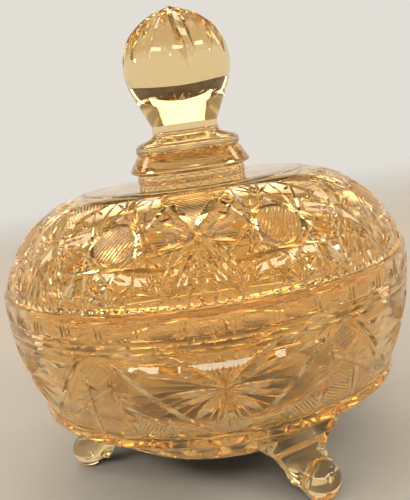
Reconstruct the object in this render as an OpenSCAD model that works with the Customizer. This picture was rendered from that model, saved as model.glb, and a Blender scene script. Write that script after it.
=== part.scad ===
// Lidded candy dish of thick cut glass: a footed bowl, and a domed lid with a ball knob.
// Millimetres, +Z up. The origin is on the dish's axis, at the table it stands on.
// The front of the dish faces -Y.

/* [Bowl] */
// Height of the rim above the table
rim_z = 76; // [72:0.5:84]
// Radius of the bowl where it is widest
bowl_r = 73; // [68:0.5:80]
// How far the widest level lies below the rim
widest_drop = 5.5; // [3:0.5:9]
// Radius of the arc that the side follows
bowl_curve = 78.4; // [75:0.2:90]
// Thickness of the side
bowl_wall = 6; // [4:0.5:8]
// Height of the base edge, where the side ends, above the table
edge_z = 32; // [29:0.5:35]
// Height of the band at the base edge
edge_band_h = 3.8; // [2:0.2:6]
// How far that band stands proud of the side
edge_proud = 0.4; // [0.2:0.1:1]
// Width of the ledge under that band
edge_ledge = 2; // [1:0.5:4]
// Width of the sloping underside, from that ledge in to the flat bottom
underside_w = 20.3; // [16:0.1:24]
// Height of the flat bottom above the table
bottom_z = 16.5; // [14:0.5:19]
// Thickness of the bottom
floor_t = 9.5; // [8:0.5:12]
// Radius of the round between the inside floor and the side
floor_round = 30; // [22:1:34]

/* [Rim grooves] */
// Number of grooves below the rim band
groove_count = 3; // [1:1:4]
// Distance from the rim to the first groove
groove_drop = 7.9; // [6:0.1:10]
// Distance from one groove to the next
groove_pitch = 2; // [1.8:0.1:3]
// Depth of each groove
groove_depth = 0.7; // [0.3:0.1:0.9]

/* [Lid] */
// How far the lid's edge stands back from the bowl's widest line
lid_setback = 1; // [0.5:0.1:2]
// Height of the dome above the rim
dome_h = 29.3; // [26:0.1:33]
// Radius of the arc that the dome's shoulder follows
dome_curve = 38.4; // [36:0.2:44]
// Thickness of the dome at its top
dome_t = 6; // [5:0.5:8]
// Radius of the arc that the dome's inside follows
dome_inside_curve = 28; // [26:0.5:31]
// How far the locating flange drops into the bowl
flange_drop = 4; // [3:0.5:6]
// Thickness of the flange
flange_t = 4.2; // [3:0.1:5]
// Gap between the flange and the bowl's mouth
flange_gap = 0.6; // [0.4:0.1:1]

/* [Boss on the lid] */
// Height of the boss above the dome
boss_h = 10.7; // [9.5:0.1:13]
// Radius of the boss's foot
boss_foot_r = 19.6; // [19:0.1:20.5]
// Height of the boss's foot
boss_foot_h = 3.4; // [2.5:0.1:4]
// Radius of the boss's sharp edge
boss_edge_r = 21.8; // [21:0.1:23]
// Thickness of that edge
boss_edge_t = 0.9; // [0.6:0.1:1.4]
// How far the edge overhangs in height
boss_edge_rise = 1.1; // [0.6:0.1:1.6]

/* [Knob] */
// Radius of the collar that stands on the boss
collar_r = 18.9; // [17:0.1:20]
// Height of the collar, where its sloping top would reach the neck
collar_h = 5.9; // [5.5:0.1:7]
// How far the collar's top slopes down from there to its edge
collar_fall = 2.8; // [1.5:0.1:3]
// Radius of the collar's round upper edge
collar_round = 2.2; // [1.2:0.1:2.4]
// Chamfer on each side of the joint between collar and boss
joint_chamfer = 0.5; // [0.2:0.1:0.8]
// Radius of the neck
neck_r = 12; // [10:0.1:13]
// Height of the straight neck above the collar
neck_h = 3.5; // [3:0.1:5]
// Radius of the cove between the neck and the collar's top
neck_cove = 2; // [1:0.1:2.5]
// Radius of the ball
ball_r = 19.2; // [17:0.1:22]
// Height of the ball's centre above the joint
ball_rise = 29.6; // [28:0.1:34]
// Height of the pointed tip above the ball's centre
tip_rise = 20.5; // [20.5:0.1:24]

/* [Feet] */
// Turn of the front foot from the dish's front
foot_turn = 31; // [0:1:60]
// How far the middle of a toe lies in from the ledge under the base edge
toe_inset = 8.8; // [6:0.1:10]
// Radius of a toe, seen from the side
toe_r = 6.6; // [5.5:0.1:7]
// Width of a toe
toe_w = 14.5; // [11:0.5:15]
// Depth ground off a toe to make its flat sole
sole_cut = 0.5; // [0.3:0.1:0.8]
// Width of the wings at the top of a foot
wing_w = 30; // [24:0.2:32]
// Height of the wings' lower corners above the table
wing_z = 19.5; // [18:0.5:22]
// How far the outer face of the wings lies in from that ledge
wing_inset = 14.8; // [12.5:0.1:15.5]
// Width of a foot at its waist
waist_w = 18.4; // [14:0.2:20]
// Height of the waist above the table
waist_z = 12.5; // [11:0.5:14]
// Radius of the hollow above a toe
waist_hollow = 5; // [4:0.1:6]
// How far that hollow cuts in behind the outer face of the wings
hollow_depth = 1; // [0.5:0.1:1.5]
// How far the inner edge of a foot lies in from the ledge
heel_inset = 24.3; // [22:0.1:27]

/* [Cut pattern] */
// Number of star panels round the bowl
bowl_stars = 6; // [6:1:7]
// Width of the level bar over each of the bowl's stars
bar_w = 3; // [2:0.1:3.4]
// Width of the V frame round each of the bowl's stars
frame_w = 1.7; // [1.2:0.1:2]
// Width of the star's broadest leaves
leaf_w = 4.2; // [3:0.1:4.8]
// Width of the star's other leaves
slim_leaf_w = 2.6; // [1.6:0.1:3]
// Number of star panels round the lid
lid_stars = 8; // [7:1:9]
// Turn of the lid's pattern from the dish's front
lid_star_turn = -1; // [-5:0.1:5]
// Width of the two mitres that cross in each of the lid's panels
cross_w = 2.6; // [1.8:0.1:3]
// Width of the fan's rays below the crossing
ray_w = 2.4; // [1.4:0.1:2.8]
// Width of the thin mitres between the panels
thin_w = 1.1; // [0.8:0.1:1.5]
// Radius of the ring round each button between the lid's panels
button_r = 7; // [5:0.1:7.2]
// Depth of a cut for each millimetre of half its width
steepness = 0.75; // [0.5:0.05:0.9]

/* [Hidden] */
$fn = 180;
// Overlap that makes cuts and joined outlines run past each other
past = 1;
foot_count = 3;
cut_glass = [0.90, 0.78, 0.55, 0.75];
clear_glass = [0.94, 0.85, 0.66, 0.75];

// Bowl: middle of the side's arc, then the sizes that follow from it
bowl_c = [bowl_r - bowl_curve, rim_z - widest_drop];
bowl_inside_curve = bowl_curve - bowl_wall;
mouth_r = arc_r(bowl_c, bowl_inside_curve, rim_z);
edge_band_z = edge_z + edge_band_h;
edge_band_r = arc_r(bowl_c, bowl_curve, edge_band_z) + edge_proud;
ledge_r = edge_band_r - edge_ledge;
bottom_r = ledge_r - underside_w;
floor_z = bottom_z + floor_t;
floor_round_z = floor_z + floor_round;
floor_round_c = [arc_r(bowl_c, bowl_inside_curve - floor_round, floor_round_z), floor_round_z];

// Bowl's side as a face to cut: its arc's middle and radius, then the levels that the pattern runs between
bowl_face = [bowl_c, bowl_curve];
bowl_levels = [edge_band_z, rim_z - groove_drop - (groove_count - 1) * groove_pitch - groove_depth];

// Lid
lid_r = bowl_r - lid_setback;
dome_z = rim_z + dome_h;
dome_c = arc_middle(dome_curve, dome_z, lid_r, rim_z);
flange_r = mouth_r - flange_gap;
lid_inside_r = flange_r - flange_t;
dome_inside_z = dome_z - dome_t;
dome_inside_c = arc_middle(dome_inside_curve, dome_inside_z, lid_inside_r, rim_z);

// Lid's dome as a face to cut, and the levels that its pattern runs between
lid_face = [dome_c, dome_curve];
lid_levels = [rim_z, dome_z];

// The feet stand below the fields between the bowl's panels
bowl_star_turn = foot_turn - 180 / bowl_stars;

// Cuts of one panel of the bowl, and of the lid. Each has its two ends and its width. An end is a
// share of the panel's turn, from the panel's middle, and a share of the height between the levels.
star_hub = 0.58;
bowl_cuts = [
    [[0.43, 0.95], [0.07, 0.06], frame_w],
    [[0.03, star_hub + 0.07], [0.215, 0.95], leaf_w],
    [[0.045, star_hub], [0.237, 0.56], slim_leaf_w],
    [[0.03, star_hub - 0.07], [0.143, 0.24], slim_leaf_w]
];
bowl_middle_cuts = [
    [[-0.39, 0.9], [0.39, 0.9], bar_w],
    [[0, star_hub - 0.08], [0, 0.09], slim_leaf_w]
];
bowl_field_cuts = [
    [[0.05, 0.8], [0.095, 0.06], thin_w],
    [[-0.09, 0.74], [0.27, 0.17], thin_w]
];
lid_cuts = [
    [[-0.275, 0.95], [0.187, 0.065], cross_w],
    [[0.02, 0.47], [0.078, 0.06], ray_w],
    [[0.32, 0.955], [0.358, 0.07], thin_w]
];
lid_middle_cuts = [[[0, 0.5], [0, 0.06], ray_w]];
lid_field_cuts = [[[-0.262, 0.6], [0.12, 0.065], thin_w]];
button_level = 0.61;

// Boss and knob
joint_z = dome_z + boss_h;
boss_foot_z = dome_z + boss_foot_h;
boss_edge_z = boss_foot_z + boss_edge_rise;
collar_z = joint_z + collar_h;
collar_slope = atan2(collar_fall, collar_r - neck_r);
collar_edge_c = [collar_r - collar_round, collar_top(collar_r - collar_round) - collar_round / cos(collar_slope)];
cove_c = [neck_r + neck_cove, collar_top(neck_r + neck_cove) + neck_cove / cos(collar_slope)];
neck_z = collar_z + neck_h;
ball_z = joint_z + ball_rise;
tip_z = ball_z + tip_rise;

// Feet: distances from the axis, then heights
toe_reach = ledge_r - toe_inset;
wing_reach = ledge_r - wing_inset;
heel_reach = ledge_r - heel_inset;
toe_z = toe_r - sole_cut;
toe_side_z = toe_w / 2 - sole_cut;
hollow_c = [wing_reach - hollow_depth + waist_hollow, waist_z + waist_hollow / 2];
heel_z = toe_r / 2;

// Other short side of a right triangle
function leg_of(long, short) = sqrt(long * long - short * short);

// Radius that an arc reaches at height z, where c is the arc's middle
function arc_r(c, curve, z) = c.x + leg_of(curve, z - c.y);

// Middle of an arc that is level at height top and passes radius r at height z
function arc_middle(curve, top, r, z) = [r - leg_of(curve, z - top + curve), top - curve];

// Height of the collar's sloping top at radius r
function collar_top(r) = collar_z - (r - neck_r) * tan(collar_slope);

// Point of a round face at a turn from the dish's front and at a height
function spot(face, turn, z) =
    let (r = arc_r(face[0], face[1], z)) [r * sin(turn), -r * cos(turn), z];

// Offset of a point from the middle of a round face's arc, as a vector in space
function from_arc(face, p) =
    let (r = norm([p.x, p.y]), out = r - face[0].x) [p.x / r * out, p.y / r * out, p.z - face[0].y];

// Where a line from a point meets a round face, by a few steps
function settle(face, p, way, tries = 6) = tries == 0 ? p : let (
    arm = from_arc(face, p),
    gap = norm(arm) - face[1]
) settle(face, p - way * (gap * norm(arm) / (way * arm)), way, tries - 1);

// Disc in the outline's plane
module disc(c, r) {
    translate(c) circle(r);
}

// Block from the axis out to radius r, between two heights
module block(r, low, high) {
    translate([0, low]) square([r, high - low]);
}

// Outline of the bowl's outside, filled to the axis
module bowl_outside() {
    intersection() {
        disc(bowl_c, bowl_curve);
        block(bowl_r + past, edge_z, rim_z);
    }
    block(edge_band_r, edge_z, edge_band_z);
    polygon([
        [0, bottom_z],
        [bottom_r, bottom_z],
        [ledge_r, edge_z],
        [ledge_r, edge_z + past],
        [0, edge_z + past]
    ]);
}

// Outline of the bowl's hollow, with a round corner at its floor
module bowl_hollow() {
    out = (floor_round_c - bowl_c) / norm(floor_round_c - bowl_c);
    corner = floor_round_c + out * (floor_round + bowl_wall);
    difference() {
        intersection() {
            disc(bowl_c, bowl_inside_curve);
            block(bowl_r, floor_z, rim_z + past);
        }
        polygon([
            [floor_round_c.x, floor_z - past],
            floor_round_c,
            corner,
            [corner.x, floor_z - past]
        ]);
    }
    disc(floor_round_c, floor_round);
}

// V grooves round the bowl below its rim
module rim_grooves() {
    for (i = [0 : groove_count - 1]) {
        z = rim_z - groove_drop - i * groove_pitch;
        translate([arc_r(bowl_c, bowl_curve, z), z]) rotate(45)
            square(groove_depth * sqrt(2), center = true);
    }
}

// V cut between two points of a round face. Its bottom follows an arc that meets the face at both
// ends, so the cut tapers to a point there.
module v_cut(face, from, to, width) {
    depth = width / 2 * steepness;
    arm = from_arc(face, (from + to) / 2);
    out = arm / norm(arm);
    middle = settle(face, (from + to) / 2, out);
    run = to - from - out * ((to - from) * out);
    half = norm(run) / 2;
    along = run / norm(run);
    bow = (middle - (from + to) / 2) * out - depth;
    side = sign(bow);
    curve = (half * half + bow * bow) / abs(2 * bow);
    centre = middle - out * (depth + side * curve);
    x = out * side;
    y = along * side;
    z = cross(out, along);
    spread = asin(half / curve);
    top = depth + 3 * past;
    multmatrix([
        [x.x, y.x, z.x, centre.x],
        [x.y, y.y, z.y, centre.y],
        [x.z, y.z, z.z, centre.z],
        [0, 0, 0, 1]
    ])
        rotate(-spread) rotate_extrude(angle = 2 * spread)
            polygon(side > 0
                ? [[curve, 0], [curve + top, -top / steepness], [curve + top, top / steepness]]
                : [[curve, 0], [curve - top, top / steepness], [curve - top, -top / steepness]]);
}

// V cut that rings a point of a round face, as deep as the mean of the face's two curves lets it lie
module ring_cut(face, at, radius, width) {
    depth = width / 2 * steepness;
    arm = from_arc(face, at);
    z = arm / norm(arm);
    x = cross([0, 0, 1], z) / norm(cross([0, 0, 1], z));
    y = cross(z, x);
    curve_round = norm([at.x, at.y]) / norm([z.x, z.y]);
    sag = radius * radius * (1 / face[1] + 1 / curve_round) / 4;
    low = at - z * (sag + depth);
    top = depth + past;
    multmatrix([
        [x.x, y.x, z.x, low.x],
        [x.y, y.y, z.y, low.y],
        [x.z, y.z, z.z, low.z],
        [0, 0, 0, 1]
    ])
        rotate_extrude()
            polygon([[radius, 0], [radius + top / steepness, top], [radius - top / steepness, top]]);
}

// Ring round each button, midway between the lid's panels
module button_rings() {
    panel = 360 / lid_stars;
    level = lid_levels[0] + button_level * (lid_levels[1] - lid_levels[0]);
    for (i = [0 : lid_stars - 1])
        rotate(lid_star_turn + (i + 0.5) * panel)
            ring_cut(lid_face, spot(lid_face, 0, level), button_r, thin_w);
}

// Cuts of a pattern that repeats round the dish, each also mirrored where both is true
module pattern(face, levels, stars, turn, cuts, both = true) {
    panel = 360 / stars;
    rise = levels[1] - levels[0];
    for (i = [0 : stars - 1], cut = cuts, side = both ? [-1, 1] : [1])
        rotate(turn + i * panel)
            v_cut(face,
                spot(face, side * cut[0][0] * panel, levels[0] + cut[0][1] * rise),
                spot(face, side * cut[1][0] * panel, levels[0] + cut[1][1] * rise),
                cut[2]);
}

// The bowl's outside as a filled solid, which the feet are fitted to
module bowl_blank() {
    rotate_extrude() bowl_outside();
}

module bowl() {
    color(cut_glass) difference() {
        rotate_extrude() difference() {
            bowl_outside();
            bowl_hollow();
            rim_grooves();
        }
        pattern(bowl_face, bowl_levels, bowl_stars, bowl_star_turn, bowl_cuts);
        pattern(bowl_face, bowl_levels, bowl_stars, bowl_star_turn, bowl_middle_cuts, both = false);
        pattern(bowl_face, bowl_levels, bowl_stars, bowl_star_turn + 180 / bowl_stars, bowl_field_cuts);
    }
}

// Side view of a foot: x runs out from the dish's axis
module foot_side() {
    difference() {
        union() {
            disc([toe_reach, toe_z], toe_r);
            polygon([
                [heel_reach, bottom_z - past],
                [(heel_reach + toe_reach) / 2, heel_z],
                [toe_reach, toe_z],
                [wing_reach, waist_z],
                [wing_reach, edge_z],
                [heel_reach, edge_z]
            ]);
        }
        disc(hollow_c, waist_hollow);
    }
}

// Front view of a foot
module foot_front_view() {
    disc([0, toe_side_z], toe_w / 2);
    polygon([
        [-toe_w / 2 + past, toe_side_z],
        [toe_w / 2 - past, toe_side_z],
        [waist_w / 2, waist_z],
        [wing_w / 2, wing_z],
        [wing_w / 2, edge_z],
        [-wing_w / 2, edge_z],
        [-wing_w / 2, wing_z],
        [-waist_w / 2, waist_z]
    ]);
}

// One foot, where its two views meet, fitted to the bowl's underside
module foot(turn) {
    reach = toe_reach + toe_r + past;
    color(clear_glass) rotate(turn - 90) difference() {
        intersection() {
            rotate([90, 0, 0]) linear_extrude(wing_w + past, center = true) foot_side();
            rotate([90, 0, 90]) linear_extrude(reach) foot_front_view();
            translate([0, -wing_w, 0]) cube([reach, 2 * wing_w, edge_z]);
        }
        bowl_blank();
    }
}

module foot_front() {
    foot(foot_turn);
}

module foot_left() {
    foot(foot_turn - 360 / foot_count);
}

module foot_rear() {
    foot(foot_turn + 360 / foot_count);
}

// Outline of the boss that carries the knob
module boss_outline() {
    polygon([
        [0, dome_inside_z + past],
        [boss_foot_r, dome_inside_z + past],
        [boss_foot_r, boss_foot_z],
        [boss_edge_r, boss_edge_z],
        [boss_edge_r, boss_edge_z + boss_edge_t],
        [collar_r, joint_z - joint_chamfer],
        [collar_r - joint_chamfer, joint_z],
        [0, joint_z]
    ]);
}

// Outline of the lid's outside with its boss and flange, filled to the axis
module lid_outside() {
    intersection() {
        disc(dome_c, dome_curve);
        block(lid_r + past, rim_z, dome_z + past);
    }
    block(dome_c.x, rim_z, dome_z);
    block(flange_r, rim_z - flange_drop, rim_z + past);
    boss_outline();
}

// Outline of the lid's hollow
module lid_hollow() {
    intersection() {
        disc(dome_inside_c, dome_inside_curve);
        block(lid_r, rim_z, dome_z);
    }
    block(dome_inside_c.x, rim_z, dome_inside_z);
    block(lid_inside_r, rim_z - flange_drop - past, rim_z);
}

module lid() {
    color(cut_glass) difference() {
        rotate_extrude() difference() {
            lid_outside();
            lid_hollow();
        }
        pattern(lid_face, lid_levels, lid_stars, lid_star_turn, lid_cuts);
        pattern(lid_face, lid_levels, lid_stars, lid_star_turn, lid_middle_cuts, both = false);
        pattern(lid_face, lid_levels, lid_stars, lid_star_turn + 180 / lid_stars, lid_field_cuts);
        button_rings();
    }
}

// Outline of the knob's collar, with a chamfer at the joint, a round upper edge and a sloping top that
// a cove leads up to the neck
module collar_outline() {
    slant = [sin(collar_slope), cos(collar_slope)];
    difference() {
        polygon([
            [0, joint_z],
            [collar_r - joint_chamfer, joint_z],
            [collar_r, joint_z + joint_chamfer],
            [collar_r, collar_edge_c.y],
            collar_edge_c,
            collar_edge_c + slant * collar_round,
            cove_c - slant * neck_cove,
            cove_c,
            [neck_r, cove_c.y],
            [0, cove_c.y]
        ]);
        disc(cove_c, neck_cove);
    }
    intersection() {
        disc(collar_edge_c, collar_round);
        block(collar_r + past, collar_edge_c.y, collar_z);
    }
}

// Outline of the neck, which stands straight and then widens until it touches the ball
module neck_outline() {
    drop = ball_z - neck_z;
    touch = acos(ball_r / norm([neck_r, drop])) - atan2(drop, neck_r);
    polygon([
        [0, joint_z + past],
        [neck_r, joint_z + past],
        [neck_r, neck_z],
        [ball_r * cos(touch), ball_z + ball_r * sin(touch)],
        [0, ball_z]
    ]);
}

// Outline of the ball with its pointed tip
module ball_outline() {
    touch_z = ball_z + ball_r * ball_r / tip_rise;
    intersection() {
        disc([0, ball_z], ball_r);
        block(ball_r + past, ball_z - ball_r, ball_z + ball_r);
    }
    polygon([[0, ball_z], [arc_r([0, ball_z], ball_r, touch_z), touch_z], [0, tip_z]]);
}

module knob() {
    color(clear_glass) rotate_extrude() {
        collar_outline();
        neck_outline();
        ball_outline();
    }
}

bowl();
foot_front();
foot_left();
foot_rear();
lid();
knob();
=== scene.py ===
"""Lidded candy dish of cut crystal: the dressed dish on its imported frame, in a plain pale studio.

Lengths are millimetres until a finished mesh is written, which is in metres. Azimuths are degrees
from the dish's front (-Y) towards +X, and heights are measured from the table.
"""

import logging
import math
from collections.abc import Sequence
from dataclasses import dataclass, field
from enum import Enum

import bmesh
import bpy
from mathutils import Matrix, Vector


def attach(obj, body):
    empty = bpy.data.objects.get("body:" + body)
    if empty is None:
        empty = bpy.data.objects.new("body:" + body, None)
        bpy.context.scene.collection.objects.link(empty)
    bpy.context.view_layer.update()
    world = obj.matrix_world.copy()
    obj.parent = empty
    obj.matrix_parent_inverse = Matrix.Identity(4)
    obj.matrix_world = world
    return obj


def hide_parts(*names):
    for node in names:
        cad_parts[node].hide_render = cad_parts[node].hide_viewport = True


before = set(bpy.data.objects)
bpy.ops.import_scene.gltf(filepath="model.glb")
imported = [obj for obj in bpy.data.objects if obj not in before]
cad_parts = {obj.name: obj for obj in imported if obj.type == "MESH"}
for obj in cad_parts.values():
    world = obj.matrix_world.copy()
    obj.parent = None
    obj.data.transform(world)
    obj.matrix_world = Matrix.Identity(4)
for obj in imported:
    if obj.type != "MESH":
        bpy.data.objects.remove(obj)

LOG = logging.getLogger("candy_dish")
MM = 0.001
PHOTO_HEIGHT_PX = 500
# Steps round the axis: facets under two degrees, so the glass reads as turned
TURN_STEPS = 240
# Edges sharper than this stay crisp, as a wheel leaves them
CRISP_ANGLE = math.radians(12.0)
# Face attribute that is one where the glass is ground to a satin
GROUND = "ground"
# Spacing of the fine cuts in a ruled panel, their width, and the shortest one that is cut
RULE_PITCH = 1.1
RULE_WIDTH = 0.77
RULE_SHORTEST = 1.2
# Longest stretch of a blade between two of its stations, and of a trace between two of its points
STATION_STEP = 4.0
TRACE_STEP = 1.5
# Room that two cuts of one pass keep, and the extra at which they need no closer look
PASS_ROOM = 0.55
SKIP_ROOM = 1.6
# Radius of an arc that is as good as straight at the dish's size
STRAIGHT = 4000.0
# Points closer than this are one
MERGE = 1e-4
# Rounds that bring a point onto a round face
SETTLE_ROUNDS = 6
# Fewest stretches of a blade
BLADE_STRETCHES = 6
# Height of a stretch of the bowl's side between two of its outline's points
SIDE_STEP = 0.9
# How far a tool reaches past the piece that it cuts
OVERCUT = 20.0
# Feet round the dish, and the azimuth of the front one
FEET = 3
FOOT_TURN = 31.0

Outline = list[tuple[float, float]]


class Body(Enum):
    """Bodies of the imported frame."""

    DISH = "dish"
    COVER = "cover"


class Slot(Enum):
    """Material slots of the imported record."""

    CUT = "cut_crystal"
    CLEAR = "clear_crystal"


def linear(hex_colour: str) -> tuple[float, float, float, float]:
    """Turn an sRGB hex colour into a linear one.

    Args:
        hex_colour: Colour such as "#E8D9B0".

    Returns:
        Linear red, green, blue and an alpha of one.
    """
    channels = [int(hex_colour[i:i + 2], 16) / 255.0 for i in (1, 3, 5)]
    red, green, blue = (c / 12.92 if c <= 0.04045 else ((c + 0.055) / 1.055) ** 2.4 for c in channels)
    return red, green, blue, 1.0


def add_node(tree: bpy.types.NodeTree, kind: str, settings: dict | None = None,
             inputs: dict | None = None) -> bpy.types.Node:
    """Add a node, set it up and link it.

    Args:
        tree: Node tree that gets the node.
        kind: Blender's name of the node type.
        settings: Attributes of the node.
        inputs: Values of its sockets by name, or output sockets to link to them.

    Returns:
        The new node.
    """
    node = tree.nodes.new(kind)
    for name, value in (settings or {}).items():
        setattr(node, name, value)
    for name, value in (inputs or {}).items():
        if isinstance(value, bpy.types.NodeSocket):
            tree.links.new(value, node.inputs[name])
        else:
            node.inputs[name].default_value = value
    return node


@dataclass(frozen=True)
class Crystal:
    """Lead crystal, champagne tinted: clear and straw gold, hardly deeper where the glass is thick.

    The cutter's wheel leaves faint waves, years of handling leave a thin pale film that dulls the polish
    in patches, and ruled panels keep the satin of the grinding wheel.
    """

    name: str
    thin_tint: str
    deep_tint: str
    density: float
    clear: float = 0.97
    polish: float = 0.0
    film: float = 0.02
    film_mm: float = 9.0
    film_from: float = 0.45
    film_to: float = 0.75
    wave_mm: float = 4.0
    wave_depth_mm: float = 0.012
    ground: float = 0.27
    ior: float = 1.545

    def material(self) -> bpy.types.Material:
        """Build the glass: a clear surface, satin where it is ground, over an even absorption.

        Returns:
            The material.
        """
        material = bpy.data.materials.new(self.name)
        material.use_nodes = True
        tree = material.node_tree
        tree.nodes.clear()
        where = add_node(tree, "ShaderNodeTexCoord").outputs["Object"]
        film = add_node(tree, "ShaderNodeTexNoise", inputs={
            "Vector": where, "Scale": 1.0 / (self.film_mm * MM), "Detail": 4.0, "Roughness": 0.6})
        bright = add_node(tree, "ShaderNodeMapRange", inputs={
            "Value": film.outputs["Fac"], "From Min": self.film_from, "From Max": self.film_to,
            "To Min": self.polish, "To Max": self.polish + self.film})
        satin = add_node(tree, "ShaderNodeAttribute", {"attribute_name": GROUND})
        rough = add_node(tree, "ShaderNodeMapRange", inputs={
            "Value": satin.outputs["Fac"], "To Min": bright.outputs["Result"], "To Max": self.ground})
        wave = add_node(tree, "ShaderNodeTexNoise", inputs={
            "Vector": where, "Scale": 1.0 / (self.wave_mm * MM), "Detail": 1.0})
        ripple = add_node(tree, "ShaderNodeBump", inputs={
            "Height": wave.outputs["Fac"], "Distance": self.wave_depth_mm * MM, "Strength": 1.0})
        surface = add_node(tree, "ShaderNodeBsdfPrincipled", inputs={
            "Base Color": linear(self.thin_tint), "Transmission Weight": self.clear, "IOR": self.ior,
            "Roughness": rough.outputs["Result"], "Normal": ripple.outputs["Normal"]})
        depth = add_node(tree, "ShaderNodeVolumeAbsorption", inputs={
            "Color": linear(self.deep_tint), "Density": self.density})
        add_node(tree, "ShaderNodeOutputMaterial", inputs={
            "Surface": surface.outputs["BSDF"], "Volume": depth.outputs["Volume"]})
        return material


# Cut and dipped in acid: bright facets with soft-dulled ruled panels, pale gold through one wall
CUT_CRYSTAL = Crystal("lead crystal, wheel cut and acid polished", thin_tint="#FEE2AE",
                      deep_tint="#FCDD38", density=6.0)
# Pressed and flamed: a wet-looking, slightly wavy skin on thick solid glass, so it bends what lies behind
CLEAR_CRYSTAL = Crystal("lead crystal, pressed and fire polished", thin_tint="#FDE6B6",
                        deep_tint="#FCDD38", density=6.0)


def arc(centre: tuple[float, float], radius: float, start: float, end: float, steps: int) -> Outline:
    """Points of an arc in the outline's plane.

    Args:
        centre: Middle of the arc, as distance from the axis and height.
        radius: Radius of the arc.
        start: Angle of its first point in degrees, from outwards towards up.
        end: Angle of its last point.
        steps: Number of stretches.

    Returns:
        The points from start to end.
    """
    angles = [math.radians(start + (end - start) * i / steps) for i in range(steps + 1)]
    return [(centre[0] + radius * math.cos(a), centre[1] + radius * math.sin(a)) for a in angles]


def leg_of(long: float, short: float) -> float:
    """Other short side of a right triangle."""
    return math.sqrt(long * long - short * short)


def spun(outline: Outline, steps: int = TURN_STEPS) -> bmesh.types.BMesh:
    """Turn an outline round the dish's axis into a closed solid.

    Args:
        outline: Points from the axis back to the axis.
        steps: Steps of the turn.

    Returns:
        The solid in millimetres.
    """
    bm = bmesh.new()
    chain = [bm.verts.new((r, 0.0, z)) for r, z in outline]
    links = [bm.edges.new(pair) for pair in zip(chain, chain[1:])]
    bmesh.ops.spin(bm, geom=chain + links, cent=(0.0, 0.0, 0.0), axis=(0.0, 0.0, 1.0),
                   angle=2.0 * math.pi, steps=steps, use_merge=True)
    bmesh.ops.remove_doubles(bm, verts=bm.verts, dist=MERGE)
    bmesh.ops.recalc_face_normals(bm, faces=bm.faces)
    return bm


def as_object(bm: bmesh.types.BMesh, name: str) -> bpy.types.Object:
    """Write a bmesh to a new object with a slot for polished and one for ground faces, and free it.

    Args:
        bm: Mesh data, freed here.
        name: Name of the object and its mesh.

    Returns:
        The object, linked to the scene.
    """
    mesh = bpy.data.meshes.new(name)
    bm.to_mesh(mesh)
    bm.free()
    for _ in range(2):
        mesh.materials.append(None)
    piece = bpy.data.objects.new(name, mesh)
    bpy.context.scene.collection.objects.link(piece)
    return piece


def drop(piece: bpy.types.Object) -> None:
    """Remove a helper object and its mesh.

    Args:
        piece: The helper.
    """
    mesh = piece.data
    bpy.data.objects.remove(piece)
    bpy.data.meshes.remove(mesh)


def settle_modifiers(piece: bpy.types.Object) -> None:
    """Apply a piece's modifiers to its mesh.

    Args:
        piece: The piece, left with no modifier.
    """
    graph = bpy.context.evaluated_depsgraph_get()
    graph.update()
    mesh = bpy.data.meshes.new_from_object(piece.evaluated_get(graph))
    old = piece.data
    piece.modifiers.clear()
    piece.data = mesh
    bpy.data.meshes.remove(old)


def carve(piece: bpy.types.Object, tools: Sequence[bpy.types.Object],
          operation: str = "DIFFERENCE") -> None:
    """Cut a piece with solid tools, one after another, and remove the tools.

    Args:
        piece: Closed solid that is cut.
        tools: Closed solids, none of which overlaps itself.
        operation: Blender's name of the operation.
    """
    for tool in tools:
        cut = piece.modifiers.new(tool.name, "BOOLEAN")
        cut.operation = operation
        cut.solver = "MANIFOLD"
        cut.object = tool
    settle_modifiers(piece)
    for tool in tools:
        drop(tool)


def polish(piece: bpy.types.Object, crisp: float = CRISP_ANGLE) -> None:
    """Scale a finished solid to metres, mark its ground faces, and shade it smooth between crisp edges.

    Args:
        piece: Solid in millimetres.
        crisp: Angle above which an edge stays crisp.
    """
    bm = bmesh.new()
    bm.from_mesh(piece.data)
    bmesh.ops.dissolve_degenerate(bm, edges=bm.edges, dist=MERGE)
    bmesh.ops.scale(bm, vec=(MM, MM, MM), verts=bm.verts)
    satin = bm.faces.layers.float.new(GROUND)
    for face in bm.faces:
        face.smooth = True
        face[satin] = float(face.material_index)
        face.material_index = 0
    bm.to_mesh(piece.data)
    bm.free()
    piece.data.set_sharp_from_angle(angle=crisp)
    piece.data.update()


def dress(piece: bpy.types.Object, material: bpy.types.Material, node: str, body: Body,
          slot: Slot) -> None:
    """Give a piece its material, and let it stand for a CAD node on its body.

    Args:
        piece: Finished piece.
        material: Its glass.
        node: CAD node that it stands for.
        body: Body that it moves with.
        slot: The record's material slot; not used.
    """
    piece.data.materials.clear()
    piece.data.materials.append(material)
    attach(piece, body.value)
    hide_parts(node)
    LOG.info("%s: %d faces on %s", piece.name, len(piece.data.polygons), body.value)


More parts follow.
